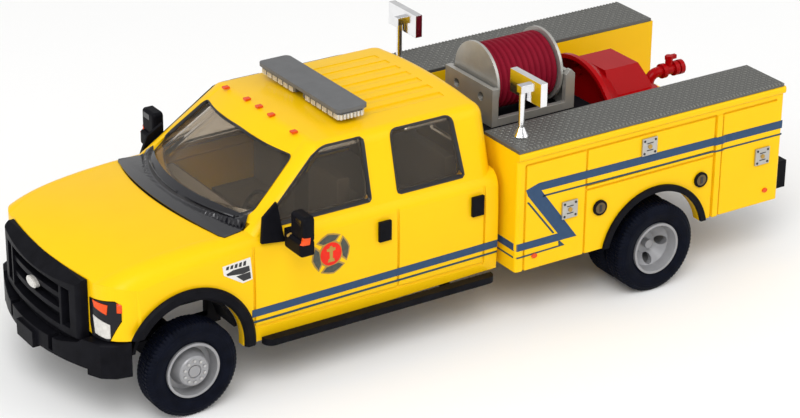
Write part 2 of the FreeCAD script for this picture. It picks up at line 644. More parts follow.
def lower_body(inset):
    """Bonnet, wings and doors up to the belt, as a solid set in by inset all round."""
    half = s.cab_half.value
    stations = [(x, half - drop, *rest) for x, drop, *rest in SECTIONS]
    stations[0] = (stations[0][0] - inset, *stations[0][1:])
    ends = s.cab_rear.value + inset
    stations.append((ends, *stations[-1][1:]))
    wires = [lower_section(FA + x, *rest, inset) for x, *rest in stations]
    front = Part.makeLoft(wires[:-1], True, False)
    rear = Part.makeLoft(wires[-2:], True, True)
    body = front.fuse(rear).removeSplitter()
    plan = [Vector(FA + x, y, 0) for x, y in (
        (ends, -half - 1), (s.fender_front.value - inset, -s.fender_front_half.value + inset),
        (WING_BEND[0] - inset, -WING_BEND[1] + inset * 0.4),
        (s.nose_corner.value - inset, -s.nose_corner_half.value),
        (s.nose_front.value - inset, 0))]
    a, b, mid, c, nose = plan
    flip = [Vector(p.x, -p.y, 0) for p in plan]
    b0 = Vector(FA + PLAN_START - inset, -half - 1, 0)
    b1 = Vector(b0.x, -b0.y, 0)
    outline = Part.Wire([line(a, b0), line(b0, b), arc(b, mid, c), arc(c, nose, flip[3]),
                         arc(flip[3], flip[2], flip[1]), line(flip[1], b1),
                         line(b1, flip[0]), line(flip[0], a)])
    return body.common(Part.Face(outline).extrude(Vector(0, 0, 30)))


def greenhouse_outline(z, inset):
    """Outline of the cab's upper part at height z."""
    rise = z - BELT
    side, nose, corner_x, corner_y, pillar = (
        start - rise * lean - inset * share for start, lean, share in GREENHOUSE.values())
    rear = s.cab_rear.value + rise * BACK_LEAN + inset
    round_off = BACK_CORNER
    pts = {k: Vector(FA + x, y, z) for k, (x, y) in {
        "nose": (nose, 0), "corner": (corner_x, corner_y), "pillar": (pillar, side),
        "rear": (rear + round_off, side), "back": (rear, side - round_off)}.items()}
    bend = (pts["corner"] + pts["pillar"]) * 0.5 + Vector(*PILLAR_SWELL, 0)
    tuck = round_off * (1 - math.sqrt(0.5))
    tail = Vector(pts["back"].x + tuck, pts["rear"].y - tuck, z)
    flip = lambda p: Vector(p.x, -p.y, p.z)
    n, c, p, r, b = (pts[k] for k in ("nose", "corner", "pillar", "rear", "back"))
    return Part.Wire([
        arc(flip(c), n, c), arc(c, bend, p), line(p, r), arc(r, tail, b), line(b, flip(b)),
        arc(flip(b), flip(tail), flip(r)), line(flip(r), flip(p)),
        arc(flip(p), flip(bend), flip(c))])


def greenhouse(inset, low=15.2):
    """The cab above its belt, as a solid set in by inset all round.

    Only skins near the outer one have room for the roof's rounding."""
    body = Part.makeLoft([greenhouse_outline(low, inset), greenhouse_outline(LOFT_TOP, inset)],
                         True, True)
    radius = s.roof_crown.value
    top = s.roof_height.value - inset
    dome = Part.makeCylinder(radius, 60, Vector(FA - 50, 0, top - radius), Vector(1, 0, 0))
    body = body.common(dome)
    if inset < ROUNDED_SKIN:
        edges = [e for e in body.Edges
                 if e.BoundBox.ZMin > ROOF_EDGE and e.BoundBox.ZMax > top - ROOF_FALL]
        body = body.makeFillet(s.roof_round.value - inset, edges)
    return body


def side_outline(points):
    """A closed flat outline in the side view: each point is (along, up, corner radius)."""
    spots = [Vector(a, 0, b) for a, b, _ in points]
    edges, count = [], len(spots)
    cuts = []
    for i, spot in enumerate(spots):
        before, after = spots[i - 1] - spot, spots[(i + 1) % count] - spot
        half, radius = before.getAngle(after) / 2, points[i][2]
        back = radius / math.tan(half)
        start, end = spot + before.normalize() * back, spot + after.normalize() * back
        inward = (before + after).normalize()
        middle = spot + inward * (radius / math.sin(half) - radius)
        cuts.append((start, middle, end))
    for i, (start, middle, end) in enumerate(cuts):
        edges += [arc(start, middle, end), line(end, cuts[(i + 1) % count][0])]
    return Part.Wire(edges)


def windows(grow):
    """The window openings of the cab, each grown by grow, as solids that pass its walls."""
    sill, head = s.window_sill.value - grow, s.window_head.value + grow
    front_top, small = s.front_window_top.value, s.window_round.value
    slope = (s.front_window_nose.value - front_top) / (s.window_sill.value - s.window_head.value)
    nose = s.front_window_nose.value + grow * WINDOW_NOSE_GROWTH
    front_rear = s.front_window_rear.value - grow
    front, rear = s.rear_window_front.value + grow, s.rear_window_rear.value - grow
    large = s.rear_window_round.value
    panes = [
        [(nose, sill, small), (nose + slope * (head - sill), head, s.front_window_round.value),
         (front_rear, head, small), (front_rear, sill, small)],
        [(front, sill, small), (front, head, large),
         (rear + s.rear_window_lean.value, head, large), (rear, sill, small)]]
    cutters = []
    for pane in panes:
        wire = side_outline([(FA + a, b, r) for a, b, r in pane])
        for side in (1, -1):
            face = Part.Face(wire.copy())
            face.translate(Vector(0, side * PANE_FROM, 0))
            cutters.append(face.extrude(Vector(0, side * PANE_DEPTH, 0)))
    for half_low, half_high, low, high, crown, x, length in (
            (s.screen_sill_half, s.screen_head_half, s.screen_sill, s.screen_head,
             [(0, s.screen_head.value + s.screen_crown.value + grow, s.roof_crown.value)],
             *SCREEN_REACH),
            (s.back_window_half, s.back_window_half, s.back_window_sill, s.back_window_head,
             [], s.cab_rear.value - 1, 4)):
        bottom, top = [half.value + grow for half in (half_low, half_high)]
        low, high = low.value - grow, high.value + grow
        wire = side_outline([(bottom, low, large), (top, high, large)] + crown
                            + [(-top, high, large), (-bottom, low, large)])
        face = Part.Face(wire)
        face.rotate(Vector(0, 0, 0), Vector(0, 0, 1), 90)
        face.translate(Vector(FA + x, 0, 0))
        cutters.append(face.extrude(Vector(length, 0, 0)))
    return cutters


def cowl_region(grow):
    """Plan of the black panel between the bonnet and the windscreen, as a tall solid."""
    front, corner, half = s.cowl_front.value, s.cowl_corner.value, s.cowl_half.value + grow
    side_rear, rear = COWL_REAR
    a, b, nose, c, d, back = (Vector(FA + x + turn * grow, y, COWL_LOW) for x, turn, y in (
        (corner, 1, -half), (corner, 1, half), (front, 1, 0),
        (side_rear, -1, half), (side_rear, -1, -half), (rear, -1, 0)))
    outline = Part.Wire([arc(a, nose, b), line(b, c), arc(c, back, d), line(d, a)])
    return Part.Face(outline).extrude(Vector(0, 0, COWL_TALL))


def seam_cutters():
    """Thin slabs along the door cuts and the roof's pressed grooves."""
    w, depth = s.seam_width.value / 2, s.seam_depth.value
    out = s.cab_half.value + 1
    front, split, rear = (s.door_front.value, s.door_split.value, s.door_rear.value)
    low = s.door_bottom.value
    cutters = []
    for side in (1, -1):
        y0, y1 = sorted((side * (s.cab_half.value - depth), side * out))
        for x, top in zip((front, split, rear), SEAM_TOPS):
            cutters.append(Part.makeBox(2 * w, y1 - y0, top - low, Vector(FA + x - w, y0, low)))
        for x0, x1 in ((split, front), (rear, split)):
            cutters.append(Part.makeBox(x1 - x0, y1 - y0, 2 * w, Vector(FA + x0, y0, low - w)))
    count, wide = int(s.groove_count.value), s.groove_width.value
    rear, front = s.groove_rear.value, s.groove_front.value
    crown = s.roof_crown.value
    for i in range(count):
        y = (i - (count - 1) / 2) * s.groove_pitch.value
        floor = s.roof_height.value - crown + math.sqrt(crown ** 2 - y ** 2) - s.groove_depth.value
        cutters.append(Part.makeBox(front - rear, wide, 2, Vector(FA + rear, y - wide / 2, floor)))
    return cutters


def cab_pieces():
    wall = s.wall.value
    outer_low, outer_top = lower_body(0), greenhouse(0)
    outer = outer_low.fuse(outer_top)
    inner = lower_body(wall).fuse(greenhouse(wall, BELT_LOW))
    front_x, rear_x = 12.0, s.cab_rear.value - 1
    profile = [(front_x, s.fender_bottom.value), (4.0, s.fender_bottom.value),
               (4.0, s.rocker_front.value), (-6.0, s.rocker_front.value),
               (rear_x, s.rocker_rear.value),
               (rear_x, 30), (front_x, 30)]
    side = prism([(FA + a, b) for a, b in profile], "y", -20, 20)
    shell = outer.cut(inner).common(side)
    arch = Part.makeCylinder(s.arch_radius.value, 40, Vector(FA, -20, s.arch_height.value),
                             Vector(0, 1, 0))
    below = Part.makeBox(2 * s.arch_radius.value, 40, s.arch_height.value,
                         Vector(FA - s.arch_radius.value, -20, 0))
    shell = shell.cut(arch.fuse(below))
    for window in windows(0):
        shell = shell.cut(window)
    thick = s.cowl_thickness.value
    skin = outer_low.cut(lower_body(thick))
    recess = cowl_region(0).common(skin)
    shell = shell.cut(recess).cut(greenhouse(0).common(cowl_region(0)))
    brace = greenhouse(0).cut(greenhouse(wall, BELT_LOW)).common(cowl_region(0)).common(
        Part.makeBox(90, 40, 12, Vector(FA - 60, -20, BRACE_LOW)))
    for window in windows(0):
        brace = brace.cut(window)
    shell = shell.fuse(brace)
    gap = FRAME_GAP
    shell = shell.cut(Part.makeBox(wall + 3, 2 * (s.rail_outer.value + gap), 8, Vector(
        FA + s.cab_rear.value - 1.5, -s.rail_outer.value - gap, s.rail_top.value + gap - 8)))
    for cutter in seam_cutters():
        shell = shell.cut(cutter)
    lamp_skin = outer_low.cut(lower_body(s.lamp_depth.value))
    for region in lamp_region(0):
        shell = shell.cut(lamp_skin.common(region))
    shell = max(shell.Solids, key=lambda solid: solid.Volume)
    node("cab_shell", shaped(shell))
    node("cab_glazing", shaped(glazing(wall)))
    cowl_panel()


def glazing(wall):
    """One smoky insert behind all the windows, with panes that fill the openings."""
    back = wall + s.fit_gap.value
    thick = s.glass_thickness.value
    ring = greenhouse(back, GLASS_LOW).cut(greenhouse(back + thick, GLASS_HOLLOW))
    ring = ring.cut(Part.makeBox(60, 40, 3, Vector(FA - 50, -20,
                                                   s.window_head.value + GLASS_OVER)))
    skin = greenhouse(s.glass_recess.value, GLASS_LOW).cut(
        greenhouse(back + thick / 2, GLASS_HOLLOW))
    panes = [skin.common(window) for window in windows(-s.fit_gap.value)]
    insert = ring.fuse([solid for pane in panes for solid in pane.Solids]).removeSplitter()
    return max(insert.Solids, key=lambda solid: solid.Volume)


def cowl_panel():
    """The black panel under the windscreen, laid in the recess in the cab."""
    gap = s.fit_gap.value
    skin = lower_body(0).cut(lower_body(s.cowl_thickness.value - gap))
    panel = skin.common(cowl_region(-gap)).cut(greenhouse(-gap, BELT_LOW))
    return node("cowl_panel", shaped(max(panel.Solids, key=lambda solid: solid.Volume)))


def interior():
    """Floor tub with dash, two front seats and a rear bench, in one moulding."""
    floor = block((along(s.tub_rear), along(s.tub_front)), (-s.tub_half, s.tub_half),
                  (s.tub_floor, s.tub_floor + s.tub_wall))
    walls = [block((along(s.tub_rear), along(s.tub_rear) + s.tub_wall),
                   (-s.tub_half, s.tub_half), (s.tub_floor, s.tub_top)),
             block((along(s.tub_front) - s.tub_wall, along(s.tub_front)),
                   (-s.tub_half, s.tub_half), (s.tub_floor, s.tub_top))]
    dash = block((along(s.dash_rear), along(s.tub_front)),
                 (-s.tub_half + s.dash_set_in, s.tub_half - s.dash_set_in),
                 (s.tub_top - s.dash_depth, s.dash_top))
    seats = []
    for x, half, offsets in ((s.front_seat, s.seat_half, (1, -1)),
                             (s.rear_seat, s.rear_bench_half, (0,))):
        for side in offsets:
            middle = side * s.seat_offset if side else 0
            across = (middle - half, middle + half)
            base = block((along(x) - s.seat_depth, along(x)), across,
                         (s.tub_floor, s.seat_base))
            back = block((along(x) - s.seat_depth - s.seat_back, along(x) - s.seat_depth),
                         across, (s.tub_floor, s.seat_back_top))
            top = s.seat_back_top.value - 0.01
            seats += [base, rounded(back, s.seat_round,
                                    lambda e: runs_along("y")(e) and e.BoundBox.ZMin > top)]
    return node("interior", fuse(floor, *walls, dash, *seats))


def steering_wheel():
    """A six-sided ring on a column, with one bar across it."""
    ring, section = s.wheel_ring_radius, s.wheel_ring_section
    tilt = Rotation(Vector(0, 1, 0), 90 - s.steering_tilt.value)
    centre = (along(s.steering_x), s.seat_offset, s.steering_height)
    outline = [(section * math.cos(math.radians(a)), ring + section * math.sin(math.radians(a)))
               for a in range(0, 360, 60)]
    rim = place(revolved("steering_ring", "V_Axis", outline), centre,
                tilt.multiply(Rotation(Vector(1, 0, 0), 90)))
    bar, thick = s.wheel_bar, s.wheel_bar_height
    across = doc.addObject("Part::Box", "bar")
    bind(across, Length=bar, Width=ring * 2 - section, Height=thick)
    shift = tilt.multVec(Vector(-bar.value / 2, section.value / 2 - ring.value, -thick.value / 2))
    place(across, [at + move for at, move in zip(centre, shift)], tilt)
    column = doc.addObject("Part::Cylinder", "column")
    bind(column, Radius=s.column_radius, Height=s.column_length)
    place(column, centre, tilt)
    return node("steering_wheel", fuse(rim, across, column))


# ---- front end ---------------------------------------------------------------------

def bow(half, rise):
    """Radius of an arc that rises by rise over a chord of twice half."""
    return (half * half + rise * rise) / (rise * 2)


def bowed(half, front, radius, back):
    """Plan between a bow whose crest is at front, and a straight line across at back."""
    end = front - radius + root(radius * radius - half * half)
    return [(back, -half), (end, -half), (end, half, radius), (back, half)]


def root(size):
    """Square root of a size."""
    return Size(math.sqrt(size.value), "sqrt(%s)" % size.text)


def grille():
    """Bowed grille: recessed bars across the middle, an upright vent at each side and a
    brow that leans back to the bonnet."""
    body = new_body("grille_body")
    gap, half = s.fit_gap * 1.4, s.grille_half
    edge, back = along(s.grille_edge_front), along(s.nose_corner) + gap
    nose_bow = bow(s.nose_corner_half, s.nose_front - s.nose_corner)
    rise = s.grille_front - s.grille_edge_front
    face_bow = bow(half, rise)
    padded(body, "XY_Plane",
           [(back, -half, -nose_bow), (edge, -half), (edge, half, face_bow), (back, half)],
           s.grille_bottom, s.grille_top - s.grille_bottom)
    ahead = along(s.brow_front)
    pocketed(body, "XZ_Plane",
             [(along(s.nose_front), s.grille_top), (ahead, s.brow_low),
              (ahead, s.grille_top + 1), (along(s.nose_front), s.grille_top + 1)],
             -half - 1, half * 2 + 2)
    reach, bar = ahead - edge + 1, s.slot_height
    high = s.slot_low + s.slot_pitch * (s.slot_count - 1) + bar
    slot = s.slot_half
    pocketed(body, "XY_Plane",
             bowed(slot, along(s.grille_front) - s.bar_recess, face_bow, ahead),
             s.slot_low, high - s.slot_low)
    for i in range(int(s.slot_count.value)):
        low = s.slot_low + s.slot_pitch * i
        pocketed(body, "YZ_Plane", rectangle(-slot, slot, low, low + bar),
                 along(s.slot_floor), reach)
    for ends in ((s.vent_inner, s.vent_outer), (-s.vent_outer, -s.vent_inner)):
        pocketed(body, "YZ_Plane", rectangle(*ends, s.vent_low, s.vent_high),
                 along(s.vent_floor), reach)
    corner = number(half) - 0.01
    return node("grille", rounded(body, s.grille_round, lambda e: runs_along("z")(e)
                and abs(e.BoundBox.YMin) > corner and e.BoundBox.XMin > number(edge) - 0.01))


def rectangle(left, right, low, high):
    return [(left, low), (right, low), (right, high), (left, high)]


def front_bumper():
    """Bumper: a bowed band between two knees, taller corners swept back to the flares, a
    riser up to the grille and the block that a number plate goes on."""
    body = new_body("front_bumper_body")
    front, knee, end = along(s.bumper_front), along(s.bumper_knee), along(s.bumper_end)
    kh, eh, deep = s.bumper_knee_half, s.bumper_half, s.bumper_depth
    turn, th = along(s.bumper_turn), s.bumper_turn_half
    rise = s.bumper_front - s.bumper_knee
    face_bow, inner = bow(kh, rise), s.bumper_knee_half - s.bumper_set_in
    inner_bow, wrap = bow(inner, rise), eh - deep / 2
    padded(body, "XY_Plane",
           [(end, -eh), (turn, -th), (knee, -kh), (knee, kh, face_bow), (turn, th), (end, eh),
            (end, wrap), (knee - deep, inner), (knee - deep, -inner, -inner_bow), (end, -wrap)],
           s.bumper_bottom, s.bumper_top - s.bumper_bottom)
    low, high, start = s.bumper_corner_bottom, s.bumper_corner_top, s.bumper_ramp_start
    middle = (s.bumper_bottom + s.bumper_top) / 2
    for side in (1, -1):
        for inward, ends in ((s.bumper_corner_half, (low, middle)), (start, (middle, high))):
            crest = front - face_bow + root(face_bow * face_bow - inward * inward)
            corner = [(crest, side * inward), (knee, side * kh, face_bow * side),
                      (turn, side * th), (end, side * eh), (end, side * wrap),
                      (knee - deep, side * inner), (knee - deep, side * inward)]
            if side < 0:
                corner = [(knee - deep, side * inward), (knee - deep, side * inner),
                          (end, side * wrap), (end, side * eh), (turn, side * th),
                          (knee, side * kh), (crest, side * inward, face_bow)]
            padded(body, "XY_Plane", corner, ends[0], ends[1] - ends[0])
        shelf = s.bumper_ramp_half
        ramp = [(side * start, s.bumper_top), (side * shelf, s.riser_top),
                (side * (shelf + high - s.riser_top), high), (side * shelf, high + 1),
                (side * (start - 1), high + 1), (side * (start - 1), s.bumper_top)]
        pocketed(body, "YZ_Plane", ramp, end, front - end + 1)
    padded(body, "XY_Plane",
           bowed(s.riser_half, front - s.riser_set_back, face_bow, knee - deep / 2),
           s.bumper_top, s.riser_top - s.bumper_top)
    half, block_front = s.plate_block_half, along(s.front_overhang)
    padded(body, "YZ_Plane",
           rectangle(-half, half, s.plate_block_bottom, s.plate_block_top),
           front - deep / 2, block_front - front + deep / 2)
    for side in (1, -1):
        middle = s.hook_offset * side
        pocketed(body, "YZ_Plane",
                 rectangle(middle - s.hook_width / 2, middle + s.hook_width / 2,
                           s.hook_bottom, s.bumper_top), front - s.hook_depth - rise / 5, rise)
    top, outward = high.value - 0.01, number(knee) - s.bumper_depth.value + 0.01

    def front_edge(edge):
        box = edge.BoundBox
        return (box.ZMin > top and box.YLength > 0.3 and box.XMax > outward
                and abs(box.YMin) + abs(box.YMax) > number(kh + inner) + 0.4)
    return node("front_bumper", rounded(body, s.bumper_round, front_edge))


def flare(side):
    """Wheel arch flare: a ring segment with a bevelled rim that stands on the cab's side."""
    depth = s.flare_face - s.flare_seat
    start = s.flare_seat if side > 0 else -s.flare_face
    ring = cut(rod("y", s.flare_radius, (front_axle, start, s.arch_height), depth),
               rod("y", s.arch_radius, (front_axle, start - 1, s.arch_height), depth + 2))
    reach = s.flare_radius + 1
    ys = (start - 1, start + depth + 1)
    below = block((front_axle - reach, front_axle + reach), ys, (-reach, s.flare_rear_bottom))
    ahead = block((front_axle, front_axle + reach), ys, (s.flare_rear_bottom, s.flare_front_bottom))
    face = number(s.flare_face) * side

    def outer_edge(edge):
        box = edge.BoundBox
        return (abs(box.YMin - face) < 1e-4 and abs(box.YMax - face) < 1e-4
                and not isinstance(edge.Curve, (Part.Line, Part.LineSegment)))
    piece = rounded(cut(ring, below, ahead), s.flare_round, outer_edge, "Part::Chamfer")
    return node("front_flare_" + hand(side), piece)


def hand(side):
    return "left" if side > 0 else "right"


def both(low, high, side):
    """A pair of places across the truck, low and high from the middle, on one side."""
    return (low, high) if side > 0 else (-high, -low)


def lamp_region(grow):
    """Outline of the headlamp openings as seen from the front, as solids along the nose."""
    low, high = s.lamp_bottom.value - grow, s.lamp_top.value + grow
    near, far = LAMP_ACROSS
    points = [(near - grow, low + 1.2), (8.15, low), (10.1, low), (far + grow, low + 2.1),
              (far + grow, high - 0.35), (10.5, high), (near - grow, high - 0.35)]
    rear, front = LAMP_ALONG
    return [prism([(side * a, b) for a, b in points], "x", FA + rear - grow, FA + front)
            for side in (1, -1)]


def headlamps():
    """Two lamp blocks let into the corners of the nose."""
    deep, gap = s.lamp_depth.value, s.fit_gap.value
    skin = lower_body(-LAMP_STAND).cut(lower_body(deep - gap))
    lamps = [skin.common(region) for region in lamp_region(-gap)]
    return node("headlamps", shaped(Part.makeCompound(
        [max(lamp.Solids, key=lambda solid: solid.Volume) for lamp in lamps])))


# ---- sides of the cab --------------------------------------------------------------

def running_board(side):
    """Step under the doors, held by brackets that hook up behind the sill."""
    xs = (along(s.board_rear), along(s.board_front))
    inner, outer = s.board_inner, s.board_inner + s.board_width
    board = block(xs, both(inner, outer, side), (s.board_bottom, s.board_top))
    board = rounded(board, s.board_round, lambda e: runs_along("z")(e)
                    and abs(e.BoundBox.YMin) > number(outer) - 0.1)
    behind = s.cab_half - s.wall - s.stay_behind
    root_y, low = behind - s.stay_thickness, s.board_bottom - s.stay_drop
    brackets = []
    for i in range(int(s.stay_count.value)):
        x = along(s.board_front) - s.stay_first - s.stay_pitch * i
        ends = (x - s.board_stay, x)
        brackets += [block(ends, both(root_y, inner + s.board_round / 3, side),
                           (low, s.board_bottom + s.fit_gap)),
                     block(ends, both(root_y, behind, side), (low, s.board_top + s.stay_rise))]
    return node("running_board_" + hand(side), fuse(board, *brackets))


def mirror(side):
    """Door mirror: a sail plate that leans with the glass, arms, a tall housing and a short
    one for the wide view under it."""
    low, top, lean = s.sail_bottom.value, s.sail_top.value, s.sail_top_inner.value
    thick, seat = s.sail_thickness.value, s.sail_inner.value
    front, rear = FA + s.sail_front.value, FA + s.sail_rear.value
    outline = prism([(front, low + 0.3), (rear, low), (rear + 0.3, top), (rear + 1.9, top - 1.1)],
                    "y", *sorted((side * (lean - 1), side * (seat + 1))))
    plate = prism([(side * y, z) for y, z in ((seat, low), (seat + thick, low),
                                              (lean + thick, top), (lean, top))],
                  "x", rear - 1, front + 1)
    sail = shaped(outline.common(plate))
    x, split = along(s.mirror_x), s.mirror_split
    heads = []
    for depth, inner, bottom, height in (
            (s.mirror_depth, s.mirror_inner, split, s.mirror_top),
            (s.spotter_depth, s.spotter_inner, s.spotter_bottom, split + s.mirror_gap)):
        head = block((x - s.mirror_depth / 2, x - s.mirror_depth / 2 + depth),
                     both(inner, s.mirror_outer, side), (bottom, height))
        middle = number(x) - s.mirror_depth.value / 2 + depth.value - 0.01
        heads.append(rounded(head, s.mirror_round, lambda edge: runs_along("x")(edge)
                             or edge.BoundBox.XMin > middle))
    arm = block((x - s.arm_depth / 2, x + s.arm_depth / 2),
                both(s.sail_inner + s.sail_thickness / 2, s.spotter_inner + s.mirror_round, side),
                (s.arm_low, s.arm_high))
    return node("mirror_" + hand(side), fuse(sail, arm, *heads))


def handles():
    pieces = []
    for side in (1, -1):
        for front in (s.handle_front, s.rear_handle_front):
            pieces.append(block((along(front) - s.handle_length, along(front)),
                                both(s.cab_half + s.fit_gap / 2, s.cab_half + s.handle_stand, side),
                                (s.handle_bottom, s.handle_top)))
    return node("door_handles", group(*pieces))


# ---- roof --------------------------------------------------------------------------

def light_bar():
    """Flat-topped light bar: lens modules set back under a slab, with a gap at the middle."""
    rear, front, half = along(s.bar_rear), along(s.bar_front), s.bar_half
    under, back = s.bar_top - s.bar_slab, s.bar_set_back
    slab = rounded(block((rear, front), (-half, half), (under, s.bar_top)), s.bar_corner,
                   runs_along("z"))
    lens = rounded(block((rear + back, front - back), (back - half, half - back),
                         (s.bar_bottom, under + s.bar_slab / 2)), s.bar_corner, runs_along("z"))
    gap = block((front - back - s.bar_gap_depth, front + 1), (-s.bar_gap_half, s.bar_gap_half),
                (s.bar_bottom - 1, under))
    feet = []
    for side in (1, -1):
        middle = s.bar_foot_half * side
        feet.append(block((rear + s.bar_foot_set_back, front - s.bar_foot_set_back),
                          (middle - s.bar_foot_width / 2, middle + s.bar_foot_width / 2),
                          (s.roof_height + s.fit_gap, s.bar_bottom + s.fit_gap)))
    return node("light_bar", fuse(slab, cut(lens, gap), *feet))


def roof_markers():
    lamps = []
    for y in (-s.marker_outer, -s.marker_pitch, 0, s.marker_pitch, s.marker_outer):
        drop = s.roof_crown.value - math.sqrt(s.roof_crown.value ** 2 - number(y) ** 2)
        base = s.roof_height - drop + s.fit_gap
        lamp = block((along(s.marker_x) - s.marker_length, along(s.marker_x)),
                     (y - s.marker_half, s.marker_half + y), (base, base + s.marker_height))
        lamps.append(lamp)
    return node("roof_markers", group(*lamps))


# ---- service body ------------------------------------------------------------------

def service_body():
    """Two cabinet sides joined by the bed floor, front wall and tailgate, open beneath, with
    a rolled lip along the top and the doors scored in the sides."""
    wall, half, bed = s.wall, s.body_half, s.bed_half
    front, rear = along(s.body_front), along(s.body_rear)
    outer = rounded(block((rear, front), (-half, half), (s.body_bottom, s.body_top)),
                    s.body_round, lambda e: runs_along("z")(e))
    bed_space = block((rear + wall, front - wall), (-bed, bed), (s.bed_floor, s.body_top + 1))
    ends = [block((front - wall - 1, front + 1), (-bed, bed), (s.bed_front_top, s.body_top + 1)),
            block((rear - 1, rear + wall + 1), (-bed, bed), (s.tailgate_top, s.body_top + 1))]
    hollows = [block((rear + wall, front - wall), both(bed + wall, half - wall, side),
                     (s.body_bottom - 1, s.body_top - wall)) for side in (1, -1)]
    under = block((rear + wall, front - wall), (-bed - wall - 1, bed + wall + 1),
                  (s.body_bottom - 1, s.bed_floor - wall))
    frame_slot = block((rear - 1, front + 1), (-s.rail_outer - s.frame_slot, s.rail_outer + s.frame_slot),
                       (s.body_bottom - 1, s.bed_floor - wall))
    arches = [rod("y", s.body_arch_radius, (rear_axle, y, s.body_arch_height), half - bed + 1)
              for y in (bed, -half - 1)]
    shell = cut(outer, bed_space, *ends, *hollows, under, frame_slot, *arches)
    raised, seams = [], []
    for side in (1, -1):
        raised += [body_lip(side), door_pillar(side)]
        seams += door_seams(side)
    return node("service_body", cut(fuse(shell, *raised), *seams))


def body_lip(side):
    """Rolled edge along the top of one cabinet."""
    edge, lip = s.body_half + s.lip_stand, block(
        (along(s.body_rear), along(s.body_front)),
        both(s.body_half - s.lip_stand * 2, s.body_half + s.lip_stand, side),
        (s.body_top - s.lip_height, s.body_top))
    return rounded(lip, s.lip_round, lambda e: runs_along("x")(e)
                   and abs(e.BoundBox.YMin) > number(edge) - 0.01)


def door_pillar(side):
    """Rounded upright between the middle doors and the rear one."""
    rib = block((along(s.rear_seam) - s.pillar_width, along(s.rear_seam)),
                both(s.body_half - s.pillar_stand, s.body_half + s.pillar_stand, side),
                (s.body_bottom, s.seam_top))
    return rounded(rib, s.pillar_stand, lambda e: runs_along("z")(e)
                   and abs(e.BoundBox.YMin) > s.body_half.value)


def door_seams(side):
    """Slabs that score the outlines of one side's doors."""
    depth, w = s.seam_depth, s.seam_width / 2
    ys = both(s.body_half - depth, s.body_half + 1, side)
    first, last = along(s.body_front) - s.corner_post, along(s.body_rear) + s.corner_post
    middle, pillar = along(s.rear_seam), along(s.rear_seam) - s.pillar_width
    slabs = [block((x - w, x + w), ys, (s.body_bottom - 1, s.seam_top))
             for x in (first, along(s.front_seam), middle, pillar)]
    slabs += [block((middle, along(s.front_seam)), ys, (z - w, z + w))
              for z in (s.middle_door_low, s.middle_door_low - s.door_ledge)]
    slabs += [block(xs, ys, (s.seam_top - w, s.seam_top + w))
              for xs in ((last, pillar), (middle, first))]
    return slabs


def cabinet_top(side):
    """Plate that lies on one cabinet, out to the edge of its rolled lip."""
    plate = block((along(s.body_rear) + s.plate_set_in, along(s.body_front)),
                  both(s.bed_half, s.body_half + s.lip_stand / 2, side),
                  (s.body_top + s.fit_gap, s.body_top + s.top_plate))
    return node("compartment_top_" + hand(side), plate)


def arch_trims():
    pieces = []
    for side in (1, -1):
        start = s.body_half + s.fit_gap if side > 0 else -s.body_half - s.fit_gap - s.trim_stand
        inner = s.body_arch_radius
        ring = cut(rod("y", inner + s.trim_width, (rear_axle, start, s.body_arch_height),
                       s.trim_stand),
                   rod("y", inner, (rear_axle, start - 1, s.body_arch_height),
                       s.trim_stand + 2))
        reach = inner + s.trim_width + 1
        below = block((rear_axle - reach, rear_axle + reach), (start - 1, start + 2),
                      (s.body_arch_height - reach - 1, s.body_bottom))
        pieces.append(cut(ring, below))
    return node("rear_arch_trims", group(*pieces))


def wheelhouses(name, axle, height, radius, inner, outer, rear):
    """Round liners over a pair of wheels, as far back as rear from the axle."""
    pieces = []
    for side in (1, -1):
        ys = both(inner, outer, side)
        ring = cut(rod("y", radius - s.fit_gap, (axle, ys[0], height), ys[1] - ys[0]),
                   rod("y", radius - s.fit_gap - s.well_thickness, (axle, ys[0] - 1, height),
                       ys[1] - ys[0] + 2))
        below = block((axle - radius - 1, axle + radius + 1), (ys[0] - 1, ys[1] + 1),
                      (-2, height + 1.2))
        behind = block((axle - radius - 1, axle + rear), (ys[0] - 1, ys[1] + 1),
                       (height, height + radius + 1))
        pieces.append(cut(ring, below, behind))
    return node(name, group(*pieces))


def latches(side):
    spots = [(s.front_latch, s.low_latch), (s.middle_latch, s.high_latch),
             (s.rear_latch, s.low_latch)]
    half = s.latch_size / 2
    plates = [block((along(x) - half, along(x) + half),
                    both(s.body_half + s.fit_gap, s.body_half + s.latch_stand, side),
                    (z - half, z + half)) for x, z in spots]
    return node("latches_" + hand(side), group(*plates))


def fuel_fillers():
    doors = [rod("y", s.filler_radius, (along(x), s.body_half + s.fit_gap, s.filler_height),
                 s.filler_stand) for x in (s.front_filler, s.rear_filler)]
    return node("fuel_fillers", group(*doors))


def tail_lamps():
    lamps = []
    for side in (1, -1):
        middle = s.tail_lamp_offset * side
        lamps.append(block((along(s.body_rear) - s.tail_lamp_stand,
                            along(s.body_rear) - s.fit_gap),
                           (middle - s.tail_lamp_half, middle + s.tail_lamp_half),
                           (s.tail_lamp_bottom, s.tail_lamp_top)))
    return node("tail_lamps", group(*lamps))


def rear_bumper():
    rear = front_axle - s.wheelbase - s.rear_overhang
    step = block((rear, along(s.step_front)), (-s.step_half, s.step_half),
                 (s.step_bottom, s.step_top))
    notch = block((rear - 1, rear + s.step_notch), (-s.step_notch_half, s.step_notch_half),
                  (s.step_top - s.notch_depth, s.step_top + 1))
    return node("rear_bumper", cut(step, notch))


# ---- skid unit ---------------------------------------------------------------------

def water_tank():
    half = s.tank_half
    low = block((along(s.tank_rear), along(s.tank_front)), (-half, half),
                (s.bed_floor + s.fit_gap, s.tank_low_top))
    high = block((along(s.tank_step), along(s.tank_front)), (-half, half),
                 (s.tank_low_top - 1, s.tank_top))
    return node("water_tank", fuse(low, high))


